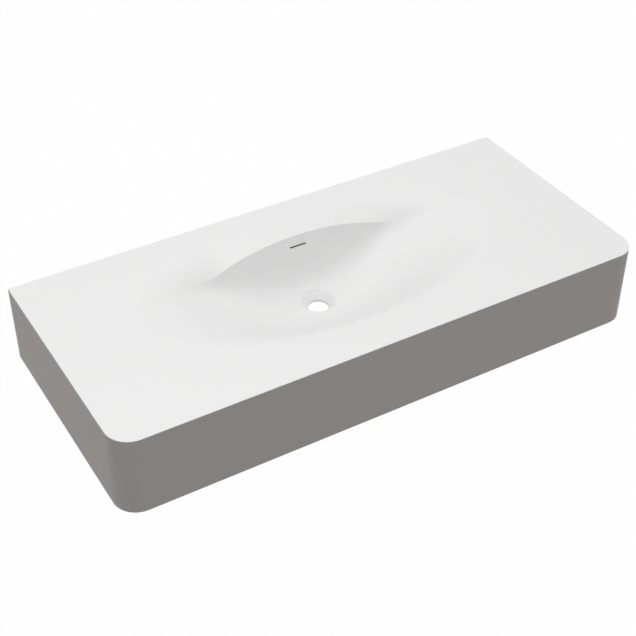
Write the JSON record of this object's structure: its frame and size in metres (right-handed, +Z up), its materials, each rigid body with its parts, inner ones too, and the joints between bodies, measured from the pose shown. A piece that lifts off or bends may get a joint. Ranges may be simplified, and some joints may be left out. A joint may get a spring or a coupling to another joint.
{
  "type": "washbasin",
  "caption": "Wall-hung rectangular washbasin: white deck with a soft hollowed bowl, overflow slot and open drain, taupe apron with rounded front corners, concealed wall brackets.",
  "frame": {"origin": "on the wall plane, at the middle of the rectangle of wall bolt holes in the two brackets", "axes": "+X to the right along the front as one faces the wall, +Y into the wall, +Z up"},
  "size_m": [1.2, 0.54, 0.18],
  "materials": {
    "white_solid_surface": "honed, warm white mineral composite",
    "taupe_solid_surface": "honed, taupe mineral composite",
    "gasket_rubber": "matt black",
    "strip_rubber": "matt black",
    "hopper_plastic": "moulded grey",
    "zinc_steel": "bright zinc",
    "bracket_steel": "light grey powder coat",
    "birch_ply": "sealed plywood",
    "insert_brass": "turned"
  },
  "bodies": {
    "root": {"basin_top": "white_solid_surface", "apron": "taupe_solid_surface", "drain_boss": "white_solid_surface", "overflow_pad": "white_solid_surface", "overflow_gasket": "gasket_rubber", "overflow_hopper": "hopper_plastic", "overflow_screws": "zinc_steel", "rear_rail": "birch_ply", "front_batten": "birch_ply", "left_batten": "birch_ply", "right_batten": "birch_ply", "left_corner_block": "white_solid_surface", "right_corner_block": "white_solid_surface", "left_rib": "birch_ply", "right_rib": "birch_ply", "left_arm_pad": "strip_rubber", "right_arm_pad": "strip_rubber", "left_bracket": "bracket_steel", "right_bracket": "bracket_steel", "rib_inserts": "insert_brass", "hold_down_screws": "zinc_steel", "hold_down_washers": "zinc_steel"}
  },
  "joints": []
}
